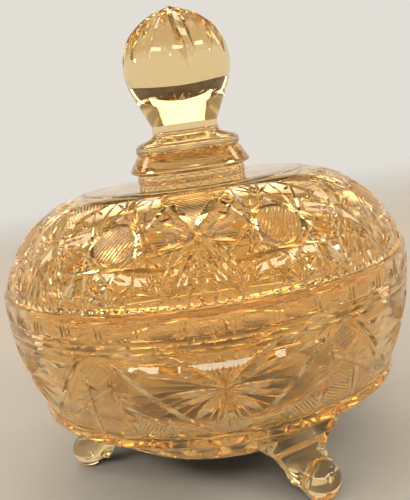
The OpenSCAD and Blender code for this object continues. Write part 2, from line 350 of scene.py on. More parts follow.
@dataclass(frozen=True)
class RoundFace:
    """Glass face that an arc sweeps round the dish's axis."""

    middle_r: float
    middle_z: float
    radius: float

    @classmethod
    def cone(cls, low: tuple[float, float], high: tuple[float, float]) -> "RoundFace":
        """Straight-sided face between two circles round the axis.

        Args:
            low: Radius and height of the lower circle.
            high: Radius and height of the upper one.

        Returns:
            The face, as an arc that is as good as straight.
        """
        middle = (Vector(low) + Vector(high)) / 2.0
        slope = (Vector(high) - Vector(low)).normalized()
        return cls(middle.x - STRAIGHT * slope.y, middle.y + STRAIGHT * slope.x, STRAIGHT)

    def spot(self, azimuth: float, height: float) -> Vector:
        """Find the point of the face at an azimuth and a height.

        Args:
            azimuth: Degrees from the front towards +X.
            height: Height over the table.

        Returns:
            The point.
        """
        reach = self.middle_r + leg_of(self.radius, height - self.middle_z)
        turn = math.radians(azimuth)
        return Vector((reach * math.sin(turn), -reach * math.cos(turn), height))

    def _from_middle(self, point: Vector) -> tuple[float, float, float]:
        """Distance from the axis, then the offset from the arc's middle, outwards and up."""
        reach = math.hypot(point.x, point.y)
        return reach, reach - self.middle_r, point.z - self.middle_z

    def normal(self, point: Vector) -> Vector:
        """Direction straight out of the face at a point."""
        reach, out, up = self._from_middle(point)
        return Vector((point.x / reach * out, point.y / reach * out, up)).normalized()

    def frame_at(self, centre: tuple[float, float]) -> tuple[Vector, Vector, Vector, Vector]:
        """Set up directions at a spot of the face.

        Args:
            centre: Azimuth and height of the spot.

        Returns:
            The spot, the normal, and the level and rising directions there.
        """
        hub = self.spot(*centre)
        normal = self.normal(hub)
        level = Vector((0.0, 0.0, 1.0)).cross(normal).normalized()
        return hub, normal, level, normal.cross(level)

    def settle(self, point: Vector, along: Vector) -> Vector:
        """Move a point along a direction until it lies on the face.

        Args:
            point: Start, near the face.
            along: Direction of the move.

        Returns:
            The point on the face.
        """
        for _ in range(SETTLE_ROUNDS):
            _, out, up = self._from_middle(point)
            gap = math.hypot(out, up) - self.radius
            point = point - along * (gap / along.dot(self.normal(point)))
        return point


@dataclass(frozen=True)
class FlatFace:
    """Level glass face that looks down."""

    height: float

    def spot(self, azimuth: float, reach: float) -> Vector:
        """Point at an azimuth and a distance from the axis."""
        turn = math.radians(azimuth)
        return Vector((reach * math.sin(turn), -reach * math.cos(turn), self.height))

    def normal(self, point: Vector) -> Vector:
        """Direction straight out of the face, the same at every point."""
        return Vector((0.0, 0.0, -1.0))

    def settle(self, point: Vector, along: Vector) -> Vector:
        """Move a point along a direction until it lies on the face."""
        return point + along * ((self.height - point.z) / along.z)


Face = RoundFace | FlatFace


@dataclass(frozen=True)
class Rim:
    """Rim of a cutting wheel.

    Attributes:
        sides: Sides of the section, three for a V and more for a round rim.
        fullness: How long the cut keeps its depth; two gives a pointed leaf.
        steepness: Depth of the cut for each millimetre of half its width.
        lift: How far the wheel stands above the glass at the cut's edge.
        satin: Whether the cut is left ground, not polished.
    """

    sides: int
    fullness: float
    steepness: float
    lift: float
    satin: bool = False


class Wheel(Enum):
    """Cutting wheels of the workshop."""

    LEAF = Rim(sides=3, fullness=2.0, steepness=0.85, lift=0.2)
    MITRE = Rim(sides=3, fullness=10.0, steepness=1.0, lift=0.2)
    BAR = Rim(sides=3, fullness=10.0, steepness=0.75, lift=0.2)
    RULE = Rim(sides=3, fullness=16.0, steepness=0.75, lift=0.06, satin=True)
    PETAL = Rim(sides=3, fullness=2.3, steepness=0.5, lift=0.3)
    OLIVE = Rim(sides=14, fullness=4.0, steepness=0.25, lift=0.25)


@dataclass(frozen=True)
class Cut:
    """One cut between two points of a glass face."""

    start: Vector
    end: Vector
    width: float
    wheel: Wheel = Wheel.LEAF

    @property
    def depth(self) -> float:
        """Depth at the cut's middle."""
        return self.width / 2.0 * self.wheel.value.steepness

    @property
    def reach(self) -> float:
        """Work out half the width that the wheel takes up above the glass.

        Returns:
            The half width.
        """
        rim = self.wheel.value
        if rim.sides == 3:
            return self.width / 2.0 * (self.depth + rim.lift) / self.depth
        return self.width / 2.0 / leg_of(1.0, rim.lift / (self.depth + rim.lift))

    def stations(self) -> int:
        """Steps along the cut: short enough to follow the round glass."""
        return BLADE_STRETCHES + int((self.end - self.start).length / STATION_STEP)


class Workbench:
    """Presses wheel cuts into a glass solid, pass by pass."""

    def __init__(self, piece: bpy.types.Object) -> None:
        """Start on a piece.

        Args:
            piece: Closed solid in millimetres.
        """
        self.piece = piece
        self.blades: dict[tuple[int, int], bpy.types.Mesh] = {}
        self.tools: list[bpy.types.Object] = []

    def blade(self, sides: int, stations: int) -> bpy.types.Mesh:
        """Make a straight blade of unit size along Z, once for each section and length.

        Args:
            sides: Sides of the section.
            stations: Stretches along the blade.

        Returns:
            The blade's mesh.
        """
        key = (sides, stations)
        if key not in self.blades:
            bm = bmesh.new()
            bmesh.ops.create_cone(bm, cap_ends=True, segments=sides, radius1=1.0, radius2=1.0, depth=2.0)
            runs = [e for e in bm.edges if e.verts[0].co.z * e.verts[1].co.z < 0.0]
            bmesh.ops.subdivide_edges(bm, edges=runs, cuts=stations - 1, use_grid_fill=True)
            self.blades[key] = bpy.data.meshes.new(f"blade_{sides}_{stations}")
            bm.to_mesh(self.blades[key])
            bm.free()
        return self.blades[key]

    def press(self, bm: bmesh.types.BMesh, cut: Cut, face: Face) -> None:
        """Add a blade to a bmesh, bent onto the face where the cut runs.

        Args:
            bm: Gets the blade, in millimetres.
            cut: The cut.
            face: Glass face that it runs on.
        """
        rim = cut.wheel.value
        middle = (cut.start + cut.end) / 2.0
        normal = face.normal(middle)
        middle = face.settle(middle, normal)
        along = cut.end - cut.start
        along -= normal * along.dot(normal)
        half = along.length / 2.0
        along.normalize()
        across = normal.cross(along)
        sunk = cut.depth + rim.lift
        half /= (cut.depth / sunk) ** (1.0 / rim.fullness)
        # The upper corners of a three-sided section stand closer to its middle plane than its radius
        widest = math.sin(2.0 * math.pi / 3.0) if rim.sides == 3 else 1.0
        first, first_face = len(bm.verts), len(bm.faces)
        bm.from_mesh(self.blade(rim.sides, cut.stations()))
        bm.verts.ensure_lookup_table()
        bm.faces.ensure_lookup_table()
        for side in bm.faces[first_face:]:
            side.material_index = int(rim.satin)
        for vert in bm.verts[first:]:
            side, down, station = vert.co
            swell = 1.0 - min(abs(station), 1.0) ** rim.fullness
            foot = middle + along * (station * half) + across * (side / widest * cut.reach * swell)
            foot = face.settle(foot, normal)
            vert.co = foot + face.normal(foot) * (rim.lift - max(down, 0.0) * sunk * swell)

    def trace(self, cut: Cut, face: Face) -> list[Vector]:
        """Follow the middle of a cut, for telling which cuts meet.

        Args:
            cut: The cut.
            face: Glass face that it runs on.

        Returns:
            Points along it.
        """
        normal = face.normal((cut.start + cut.end) / 2.0)
        count = 2 + int((cut.end - cut.start).length / TRACE_STEP)
        return [face.settle(cut.start.lerp(cut.end, i / count), normal) for i in range(count + 1)]

    def passes(self, cuts: Sequence[Cut], face: Face, repeats: int) -> list[list[Cut]]:
        """Sort cuts into passes, in none of which two cuts meet.

        Args:
            cuts: Cuts of one repeat of the pattern.
            face: Glass face that they run on.
            repeats: Repeats round the dish.

        Returns:
            The passes.
        """
        turns = [Matrix.Rotation(2.0 * math.pi * k / repeats, 3, "Z") for k in (-1, 0, 1)]
        traces = [self.trace(cut, face) for cut in cuts]
        copies = [[[m @ p for p in trace] for m in turns] for trace in traces]
        sorted_passes: list[list[int]] = []

        def meet(i: int, j: int) -> bool:
            """Say whether two cuts come too close, here or across a repeat's border.

            Args:
                i: Number of the one cut.
                j: Number of the other.

            Returns:
                True where they do.
            """
            room = cuts[i].reach + cuts[j].reach + PASS_ROOM
            near = sum((cuts[k].end - cuts[k].start).length / 2.0 for k in (i, j))
            middle = traces[i][len(traces[i]) // 2]
            for copy in copies[j]:
                if (middle - copy[len(copy) // 2]).length > near + room + SKIP_ROOM:
                    continue
                if any((p - q).length < room for p in traces[i] for q in copy):
                    return True
            return False

        for i in range(len(cuts)):
            for group in sorted_passes:
                if not any(meet(i, j) for j in group):
                    group.append(i)
                    break
            else:
                sorted_passes.append([i])
        return [[cuts[i] for i in group] for group in sorted_passes]

    def cut(self, cuts: Sequence[Cut], face: Face, repeats: int) -> None:
        """Prepare the tools for a pattern that repeats round the dish.

        Args:
            cuts: Cuts of one repeat.
            face: Glass face that they run on.
            repeats: Repeats round the dish.
        """
        for group in self.passes(cuts, face, repeats):
            bm = bmesh.new()
            for cut in group:
                self.press(bm, cut, face)
            self.repeat(bm, repeats)

    def repeat(self, bm: bmesh.types.BMesh, repeats: int) -> None:
        """Spread the blades of a pass round the dish, and keep them as one tool.

        Args:
            bm: Blades of one repeat, freed here.
            repeats: Repeats round the dish.
        """
        bmesh.ops.remove_doubles(bm, verts=bm.verts, dist=MERGE / 10.0)
        bmesh.ops.spin(bm, geom=bm.verts[:] + bm.edges[:] + bm.faces[:], axis=(0.0, 0.0, 1.0),
                       cent=(0.0, 0.0, 0.0), angle=2.0 * math.pi * (repeats - 1) / repeats,
                       steps=repeats - 1, use_duplicate=True)
        bmesh.ops.recalc_face_normals(bm, faces=bm.faces)
        self.tools.append(as_object(bm, f"pass_{len(self.tools)}"))

    def ring(self, face: RoundFace, centre: tuple[float, float], radius: float, width: float,
             repeats: int, steps: int = 56) -> None:
        """Prepare the tool for a round groove that repeats round the dish.

        Args:
            face: Glass face that it runs on.
            centre: Azimuth and height of its middle.
            radius: Radius of the groove.
            width: Its width.
            repeats: Repeats round the dish.
            steps: Steps round the groove.
        """
        rim = Wheel.MITRE.value
        depth = width / 2.0 * rim.steepness
        reach = width / 2.0 * (depth + rim.lift) / depth
        bm = bmesh.new()
        section = [bm.verts.new(p) for p in ((radius - reach, 0.0, 0.0), (radius + reach, 0.0, 0.0),
                                             (radius, 0.0, 1.0))]
        sides = [bm.edges.new(pair) for pair in zip(section, section[1:] + section[:1])]
        bmesh.ops.spin(bm, geom=section + sides, axis=(0.0, 0.0, 1.0), cent=(0.0, 0.0, 0.0),
                       angle=2.0 * math.pi, steps=steps, use_merge=True)
        hub, normal, level, rise = face.frame_at(centre)
        for vert in bm.verts:
            foot = face.settle(hub + level * vert.co.x + rise * vert.co.y, normal)
            vert.co = foot + face.normal(foot) * (rim.lift - vert.co.z * (depth + rim.lift))
        self.repeat(bm, repeats)

    def finish(self) -> None:
        """Carry out all passes."""
        LOG.info("%s: %d passes", self.piece.name, len(self.tools))
        carve(self.piece, self.tools)
        self.tools = []
        for blade in self.blades.values():
            bpy.data.meshes.remove(blade)
        self.blades = {}


def mirrored(cut: Cut) -> list[Cut]:
    """A cut and its mirror image across the panel's middle plane, x = 0."""
    flip = Matrix.Scale(-1.0, 3, Vector((1.0, 0.0, 0.0)))
    return [cut, Cut(flip @ cut.start, flip @ cut.end, cut.width, cut.wheel)]


def turned(cuts: Sequence[Cut], azimuth: float) -> list[Cut]:
    """Cuts turned round the axis, by degrees towards +X."""
    turn = Matrix.Rotation(math.radians(azimuth), 3, "Z")
    return [Cut(turn @ c.start, turn @ c.end, c.width, c.wheel) for c in cuts]


def rays(face: RoundFace, centre: tuple[float, float], tips: Sequence[tuple[float, float, float]],
         start_gap: float = 0.0) -> list[Cut]:
    """Leaf cuts from a star's centre out to its tips, each with its mirror image.

    Args:
        face: Glass face.
        centre: Azimuth and height of the star's centre.
        tips: Azimuth, height and cut width for each ray on one side.
        start_gap: Share of each ray that is left uncut at the centre.

    Returns:
        The cuts, with a ray on the middle plane only once.
    """
    cuts: list[Cut] = []
    hub = face.spot(*centre)
    for azimuth, height, width in tips:
        tip = face.spot(azimuth, height)
        ray = Cut(hub.lerp(tip, start_gap), tip, width)
        cuts += [ray] if azimuth == 0.0 else mirrored(ray)
    return cuts


def ruled(face: RoundFace, corners: Sequence[tuple[float, float]], slant: float) -> list[Cut]:
    """Fine parallel cuts, side by side, that fill a panel with satin.

    Args:
        face: Glass face.
        corners: Azimuth and height of the panel's corners, in order; the panel is convex.
        slant: Direction of the cuts in degrees from level.

    Returns:
        The cuts.
    """
    points = [face.spot(*corner) for corner in corners]
    middle = sum(points, Vector()) / len(points)
    normal = face.normal(middle)
    level = Vector((0.0, 0.0, 1.0)).cross(normal).normalized()
    rise = normal.cross(level)
    angle = math.radians(slant)
    run = level * math.cos(angle) + rise * math.sin(angle)
    step = normal.cross(run)
    flat = [(run.dot(p - middle), step.dot(p - middle)) for p in points]
    cuts: list[Cut] = []
    low, high = min(v for _, v in flat), max(v for _, v in flat)
    count = int((high - low) / RULE_PITCH)
    first = (low + high - (count - 1) * RULE_PITCH) / 2.0
    for i in range(count):
        line = first + i * RULE_PITCH
        hits = []
        for (u0, v0), (u1, v1) in zip(flat, flat[1:] + flat[:1]):
            if (v0 - line) * (v1 - line) < 0.0:
                hits.append(u0 + (u1 - u0) * (line - v0) / (v1 - v0))
        if len(hits) == 2 and abs(hits[0] - hits[1]) > RULE_SHORTEST:
            ends = [middle + run * u + step * line for u in sorted(hits)]
            start, end = (face.settle(p, normal) for p in ends)
            cuts.append(Cut(start, end, RULE_WIDTH, Wheel.RULE))
    return cuts


def round_panel(face: RoundFace, centre: tuple[float, float], radius: float,
                sides: int = 20) -> list[tuple[float, float]]:
    """Corners of a round panel, as azimuths and heights.

    Args:
        face: Glass face.
        centre: Azimuth and height of the panel's middle.
        radius: Its radius.
        sides: Number of corners.

    Returns:
        The corners in order.
    """
    hub, normal, level, rise = face.frame_at(centre)
    corners = []
    for i in range(sides):
        a = 2.0 * math.pi * i / sides
        p = face.settle(hub + level * (radius * math.cos(a)) + rise * (radius * math.sin(a)), normal)
        corners.append((math.degrees(math.atan2(p.x, -p.y)), p.z))
    return corners


@dataclass
class Bowl:
    """Thick bowl with a grooved rim band, a star in each of six panels and a star-cut bottom."""

    rim_z: float = 76.0
    rim_round: float = 0.5
    widest_r: float = 73.0
    widest_drop: float = 5.5
    curve: float = 78.4
    wall: float = 6.0
    edge_z: float = 32.0
    edge_band_h: float = 3.8
    edge_proud: float = 0.4
    edge_ledge: float = 2.0
    edge_round: float = 0.4
    underside_w: float = 20.3
    bottom_z: float = 16.5
    floor_t: float = 9.5
    floor_round: float = 30.0
    groove_count: int = 3
    groove_drop: float = 7.9
    groove_pitch: float = 2.0
    groove_depth: float = 0.7
    seat_gap: float = 0.02
    panels: int = 6
    star_turn: float = FOOT_TURN - 30.0
    bar_w: float = 3.0
    frame_w: float = 1.7
    mitre_w: float = 1.1
    short_mitre_w: float = 0.9
    rim_cells: int = 36
    rim_turn: float = -1.0
    olive_w: float = 4.4
    upright_w: float = 0.8
    bottom_rays: int = 24
    bottom_ray_w: float = 4.4
    bottom_hub_r: float = 1.5
    bottom_border: float = 5.5
    leaves: int = 8
    leaf_w: float = 5.6
    leaf_border: float = 1.2
    foot_sector: float = 36.0
    notches: int = 72
    notch_w: float = 1.5
    notch_border: float = 0.5
    side: RoundFace = field(init=False)
    edge_band_z: float = field(init=False)
    edge_band_r: float = field(init=False)
    ledge_r: float = field(init=False)
    bottom_r: float = field(init=False)
    floor_z: float = field(init=False)
    mouth_r: float = field(init=False)

    def __post_init__(self) -> None:
        """Work out the sizes that follow from the driving ones."""
        self.side = RoundFace(self.widest_r - self.curve, self.rim_z - self.widest_drop, self.curve)
        self.edge_band_z = self.edge_z + self.edge_band_h
        self.edge_band_r = self.side_r(self.edge_band_z) + self.edge_proud
        self.ledge_r = self.edge_band_r - self.edge_ledge
        self.bottom_r = self.ledge_r - self.underside_w
        self.floor_z = self.bottom_z + self.floor_t
        self.mouth_r = self.side.middle_r + leg_of(self.curve - self.wall, self.widest_drop)

    def side_r(self, z: float) -> float:
        """Radius of the side at a height."""
        return self.side.middle_r + leg_of(self.curve, z - self.side.middle_z)

    def side_angle(self, z: float, curve: float) -> float:
        """Angle on the side's arc, or on one inside it, at a height."""
        return math.degrees(math.asin((z - self.side.middle_z) / curve))

    def outline(self) -> Outline:
        """Draw the outline from the bottom's middle, up the outside, and down the inside.

        Returns:
            The outline's points.
        """
        middle = (self.side.middle_r, self.side.middle_z)
        top = self.rim_z - self.seat_gap
        line: Outline = [
            (0.0, self.bottom_z),
            (self.bottom_r, self.bottom_z),
            (self.ledge_r, self.edge_z),
        ]
        line += arc((self.edge_band_r - self.edge_round, self.edge_z + self.edge_round),
                    self.edge_round, -90.0, 0.0, steps=3)
        line += arc((self.edge_band_r - self.edge_round, self.edge_band_z - self.edge_round),
                    self.edge_round, 0.0, 90.0, steps=3)
        low = self.edge_band_z
        for i in reversed(range(self.groove_count)):
            z = self.rim_z - self.groove_drop - i * self.groove_pitch
            high = z - self.groove_depth
            steps = max(2, int((high - low) / SIDE_STEP))
            line += arc(middle, self.curve, self.side_angle(low, self.curve),
                        self.side_angle(high, self.curve), steps)
            line.append((self.side_r(z) - self.groove_depth, z))
            low = z + self.groove_depth
        high = top - self.rim_round
        line += arc(middle, self.curve, self.side_angle(low, self.curve),
                    self.side_angle(high, self.curve), steps=10)
        line += arc((self.side_r(top) - self.rim_round, high), self.rim_round, 30.0, 90.0, steps=3)
        inner = self.curve - self.wall
        mouth = self.mouth_r + self.rim_round
        line += arc((mouth, high), self.rim_round, 90.0, 180.0, steps=3)
        round_z = self.floor_z + self.floor_round
        round_r = self.side.middle_r + leg_of(inner - self.floor_round, round_z - self.side.middle_z)
        touch = math.degrees(math.atan2(round_z - self.side.middle_z, round_r - self.side.middle_r))
        line += arc(middle, inner, self.side_angle(high - self.rim_round, inner), touch, steps=26)
        line += arc((round_r, round_z), self.floor_round, touch, -90.0, steps=16)[1:]
        line.append((0.0, self.floor_z))
        return line

    def star_panel(self) -> list[Cut]:
        """Lay out one panel: a V frame under a level bar, and a star of broad leaves and fine rays.

        Returns:
            The cuts.
        """
        spot = self.side.spot
        cuts = [Cut(spot(-23.8, 60.6), spot(23.8, 60.6), self.bar_w, Wheel.BAR)]
        cuts += mirrored(Cut(spot(26.0, 62.8), spot(3.7, 36.4), self.frame_w, Wheel.MITRE))
        cuts += rays(self.side, (0.0, 51.9), [
            (13.0, 64.4, 4.2), (14.2, 51.2, 2.6), (12.8, 47.2, 2.2), (8.6, 42.2, 3.0), (0.0, 37.6, 2.4),
            (13.6, 59.4, 1.3), (0.0, 63.6, 1.1), (2.3, 63.8, 0.8), (4.2, 63.8, 0.8), (6.0, 63.9, 0.8),
            (7.8, 63.8, 0.8), (1.9, 38.4, 0.9), (3.8, 38.8, 0.9), (5.8, 40.2, 0.9)], start_gap=0.02)
        return cuts

    def fan_field(self) -> list[Cut]:
        """Lay out the field between two panels, round its own middle: crossing mitres, ruled panels.

        Returns:
            The cuts.
        """
        spot = self.side.spot
        cuts = mirrored(Cut(spot(2.9, 58.4), spot(5.7, 36.4), self.mitre_w, Wheel.MITRE))
        cuts += mirrored(Cut(spot(-5.6, 56.2), spot(16.3, 40.4), self.mitre_w, Wheel.MITRE))
        cuts += mirrored(Cut(spot(15.5, 43.4), spot(15.7, 36.4), self.short_mitre_w, Wheel.MITRE))
        cuts += rays(self.side, (0.0, 52.4), [(8.6, 51.6, 1.3), (10.4, 47.8, 1.2)], start_gap=0.3)
        cuts += ruled(self.side, [(0.0, 64.0), (-4.8, 58.6), (0.0, 53.6), (4.8, 58.6)], 35.0)
        cuts += ruled(self.side, [(0.0, 51.0), (-3.8, 48.0), (-5.0, 38.0), (0.0, 36.6), (5.0, 38.0),
                                  (3.8, 48.0)], -28.0)
        for side in (-1.0, 1.0):
            cuts += ruled(self.side, [(side * 6.4, 46.0), (side * 14.6, 41.0), (side * 14.8, 36.6),
                                      (side * 6.6, 36.6)], side * 55.0)
            cuts += ruled(self.side, [(side * 16.5, 42.6), (side * 20.0, 41.6), (side * 24.4, 36.8),
                                      (side * 16.5, 36.6)], side * -20.0)
        return cuts

    def rim_band(self) -> list[Cut]:
        """Lay out one cell of the rim band: a level olive between two short uprights.

        Returns:
            The cuts.
        """
        spot = self.side.spot
        tip = 0.36 * 360.0 / self.rim_cells
        post = 0.44 * 360.0 / self.rim_cells
        cuts = [Cut(spot(-tip, 71.0), spot(tip, 71.0), self.olive_w, Wheel.OLIVE)]
        cuts += mirrored(Cut(spot(post, 68.9), spot(post, 73.2), self.upright_w, Wheel.MITRE))
        return cuts

    def bottom_star(self) -> list[Cut]:
        """Ray of the star on the flat bottom."""
        face = FlatFace(self.bottom_z)
        start = face.spot(0.0, self.bottom_hub_r)
        return [Cut(start, face.spot(0.0, self.bottom_r - self.bottom_border), self.bottom_ray_w)]

    def underside(self) -> tuple[list[Cut], RoundFace]:
        """Lay out the leaves of the sloping underside between two feet.

        Returns:
            The cuts, and the face that they run on.
        """
        face = RoundFace.cone((self.bottom_r, self.bottom_z), (self.ledge_r, self.edge_z))
        low, high = self.bottom_z + self.leaf_border, self.edge_z - self.leaf_border
        leaf = Cut(face.spot(0.0, low), face.spot(0.0, high), self.leaf_w)
        free = 360.0 / FEET - self.foot_sector
        first = FOOT_TURN + self.foot_sector / 2.0
        leaves = []
        for i in range(self.leaves):
            leaves += turned([leaf], first + free * (i + 0.5) / self.leaves)
        return leaves, face

    def base_notches(self) -> tuple[list[Cut], RoundFace]:
        """Lay out the upright notch of the base's edge band.

        Returns:
            The cut, and the band's face.
        """
        face = RoundFace.cone((self.edge_band_r, self.edge_z), (self.edge_band_r, self.edge_band_z))
        low, high = self.edge_z + self.notch_border, self.edge_band_z - self.notch_border
        return [Cut(face.spot(0.0, low), face.spot(0.0, high), self.notch_w)], face

    def build(self) -> None:
        """Turn the bowl, cut its pattern and dress it."""
        bowl = as_object(spun(self.outline()), "bowl_glass")
        bench = Workbench(bowl)
        pattern = self.star_panel() + turned(self.fan_field(), 180.0 / self.panels)
        bench.cut(turned(pattern, self.star_turn), self.side, self.panels)
        bench.cut(turned(self.rim_band(), self.rim_turn), self.side, self.rim_cells)
        bench.cut(*self.underside(), FEET)
        bench.cut(*self.base_notches(), self.notches)
        for i in range(2):
            ray = turned(self.bottom_star(), 360.0 / self.bottom_rays * i)
            bench.cut(ray, FlatFace(self.bottom_z), self.bottom_rays // 2)
        bench.finish()
        polish(bowl)
        dress(bowl, CUT_CRYSTAL.material(), "bowl", Body.DISH, Slot.CUT)


@dataclass
class Lid:
    """Thick dome with a locating flange below, a boss for the knob above, and stars between buttons."""

    rim_z: float = 76.0
    edge_r: float = 72.0
    edge_round: float = 0.4
    dome_h: float = 29.3
    dome_curve: float = 38.4
    dome_t: float = 6.0
    inside_curve: float = 28.0
    flange_drop: float = 4.0
    flange_t: float = 4.2
    flange_gap: float = 0.6
    mouth_r: float = 66.79
    ring_angle: float = 82.0
    ring_depth: float = 0.5
    boss_h: float = 10.7
    boss_foot_r: float = 19.6
    boss_foot_h: float = 3.4
    boss_edge_r: float = 21.8
    boss_edge_t: float = 0.9
    boss_edge_rise: float = 1.1
    collar_r: float = 18.9
    joint_chamfer: float = 0.5
    seat_gap: float = 0.02
    panels: int = 8
    star_turn: float = -1.0
    cross_w: float = 2.6
    thin_w: float = 1.1
    level_w: float = 1.4
    dash_w: float = 1.2
    fan_w: float = 1.0
    button: tuple[float, float] = (0.0, 93.9)
    button_r: float = 7.0
    button_ring_w: float = 1.1
    button_border: float = 0.3
    edge_facets: int = 120
    edge_facet_w: float = 2.9
    flutes: int = 36
    flute_w: float = 2.6
    flute_border: float = 0.3
    dome: RoundFace = field(init=False)
    top_z: float = field(init=False)
    joint_z: float = field(init=False)
    flange_r: float = field(init=False)
    inside_r: float = field(init=False)

    def __post_init__(self) -> None:
        """Work out the sizes that follow from the driving ones."""
        self.top_z = self.rim_z + self.dome_h
        middle_z = self.top_z - self.dome_curve
        middle_r = self.edge_r - leg_of(self.dome_curve, self.rim_z - middle_z)
        self.dome = RoundFace(middle_r, middle_z, self.dome_curve)
        self.joint_z = self.top_z + self.boss_h
        self.flange_r = self.mouth_r - self.flange_gap
        self.inside_r = self.flange_r - self.flange_t

    def outline(self) -> Outline:
        """Draw the outline from the hollow's middle, down the inside, and up the outside to the joint.

        Returns:
            The outline's points.
        """
        inside_top = self.top_z - self.dome_t
        inside_z = inside_top - self.inside_curve
        inside_middle = (self.inside_r - leg_of(self.inside_curve, self.rim_z - inside_z), inside_z)
        low = math.degrees(math.asin((self.rim_z - inside_z) / self.inside_curve))
        line: Outline = [(0.0, inside_top)]
        line += arc(inside_middle, self.inside_curve, 90.0, low, steps=22)
        flange_z = self.rim_z - self.flange_drop
        soft = self.edge_round
        line += arc((self.inside_r + soft, flange_z + soft), soft, 180.0, 270.0, steps=3)
        line += arc((self.flange_r - soft, flange_z + soft), soft, -90.0, 0.0, steps=3)
        seat = self.rim_z + self.seat_gap
        line.append((self.flange_r, seat))
        line += arc((self.edge_r - soft, seat + soft), soft, -90.0, 0.0, steps=3)
        middle = (self.dome.middle_r, self.dome.middle_z)
        start = math.degrees(math.asin((seat + 1.5 * soft - self.dome.middle_z) / self.dome_curve))
        notch = math.degrees(self.ring_depth / self.dome_curve)
        line += arc(middle, self.dome_curve, start, self.ring_angle - notch, steps=40)
        ring = self.dome_curve - self.ring_depth
        line += arc(middle, ring, self.ring_angle, self.ring_angle, steps=1)[:1]
        line += arc(middle, self.dome_curve, self.ring_angle + notch, 90.0, steps=6)
        foot_z = self.top_z + self.boss_foot_h
        edge_z = foot_z + self.boss_edge_rise
        line += [
            (self.boss_foot_r, self.top_z),
            (self.boss_foot_r, foot_z),
            (self.boss_edge_r, edge_z),
            (self.boss_edge_r, edge_z + self.boss_edge_t),
            (self.collar_r, self.joint_z - self.joint_chamfer),
            (self.collar_r - self.joint_chamfer, self.joint_z - self.seat_gap),
            (0.0, self.joint_z - self.seat_gap),
        ]
        return line

    def star_panel(self) -> list[Cut]:
        """Lay out one panel: two broad mitres that cross, a fan, a ruled kite, and thin mitres beside.

        Returns:
            The cuts.
        """
        spot = self.dome.spot
        cuts = mirrored(Cut(spot(-12.4, 103.8), spot(8.4, 77.8), self.cross_w, Wheel.MITRE))
        cuts += rays(self.dome, (0.0, 91.0), [(0.0, 77.4, 2.6), (3.5, 77.6, 2.4), (6.4, 78.4, 1.4)],
                     start_gap=0.05)
        cuts += rays(self.dome, (0.0, 93.2), [
            (9.8, 91.4, 2.0), (10.8, 98.6, 1.2), (11.6, 96.0, 1.4), (11.6, 93.8, 1.2), (10.2, 89.2, 1.3),
            (9.2, 86.8, 1.2)], start_gap=0.2)
        for start, end in (((3.7, 96.0), (9.3, 81.0)), ((14.5, 104.0), (16.1, 78.0)),
                           ((24.5, 104.4), (10.2, 79.6)), ((24.0, 101.0), (5.6, 85.0)),
                           ((7.6, 102.4), (17.6, 90.2))):
            cuts += mirrored(Cut(spot(*start), spot(*end), self.thin_w, Wheel.MITRE))
        cuts += ruled(self.dome, [(0.0, 95.8), (-10.0, 103.5), (10.0, 103.5)], -40.0)
        cuts += mirrored(Cut(spot(6.6, 99.0), spot(11.4, 97.6), self.dash_w))
        cuts += mirrored(Cut(spot(8.4, 102.0), spot(13.0, 101.2), self.dash_w))
        for tip in ((14.6, 85.0), (13.0, 85.8), (15.4, 83.2), (15.4, 81.0)):
            cuts += mirrored(Cut(spot(10.6, 80.0), spot(*tip), self.fan_w))
        for tip in ((7.6, 84.4), (9.2, 84.8), (10.9, 84.0)):
            cuts += mirrored(Cut(spot(8.9, 78.2), spot(*tip), self.fan_w))
        return cuts

    def button_field(self) -> list[Cut]:
        """Lay out the field between two panels, round its own middle: a ruled button among mitres.

        Returns:
            The cuts.
        """
        spot = self.dome.spot
        cuts = [Cut(spot(-15.4, 86.2), spot(15.4, 86.2), self.level_w, Wheel.MITRE)]
        cuts += mirrored(Cut(spot(-11.8, 93.6), spot(5.4, 77.8), self.thin_w, Wheel.MITRE))
        cuts += rays(self.dome, (0.0, 77.8), [
            (0.0, 82.6, 1.3), (1.8, 82.0, 1.0), (3.4, 80.6, 1.0), (7.4, 84.8, 1.2), (6.2, 81.4, 1.0)])
        cuts += rays(self.dome, (0.0, 86.0), [(3.2, 82.8, 1.1), (5.0, 84.4, 1.1)], start_gap=0.1)
        button = round_panel(self.dome, self.button, self.button_r - self.button_border)
        cuts += ruled(self.dome, button, 60.0)
        cuts += rays(self.dome, (0.0, 101.4), [(0.0, 104.4, 1.2), (4.4, 104.2, 1.2), (8.0, 103.6, 1.1)])
        return cuts

    def lower_edge(self) -> list[Cut]:
        """Upright facet of the row along the lid's lower edge."""
        spot = self.dome.spot
        return [Cut(spot(0.0, 76.2), spot(0.0, 78.6), self.edge_facet_w, Wheel.OLIVE)]

    def boss_flutes(self) -> tuple[list[Cut], RoundFace]:
        """Lay out the upright flute on the boss's foot.

        Returns:
            The cut, and the face that it runs on.
        """
        foot_z = self.top_z + self.boss_foot_h
        face = RoundFace.cone((self.boss_foot_r, self.top_z), (self.boss_foot_r, foot_z))
        low, high = self.top_z + self.flute_border, foot_z - self.flute_border
        return [Cut(face.spot(0.0, low), face.spot(0.0, high), self.flute_w, Wheel.OLIVE)], face

    def build(self) -> None:
        """Turn the lid, cut its pattern and dress it."""
        lid = as_object(spun(self.outline()), "lid_glass")
        bench = Workbench(lid)
        pattern = self.star_panel() + turned(self.button_field(), 180.0 / self.panels)
        bench.cut(turned(pattern, self.star_turn), self.dome, self.panels)
        middle = (self.star_turn + 180.0 / self.panels, self.button[1])
        bench.ring(self.dome, middle, self.button_r, self.button_ring_w, self.panels)
        bench.cut(self.lower_edge(), self.dome, self.edge_facets)
        bench.cut(*self.boss_flutes(), self.flutes)
        bench.finish()
        polish(lid)
        dress(lid, CUT_CRYSTAL.material(), "lid", Body.COVER, Slot.CUT)


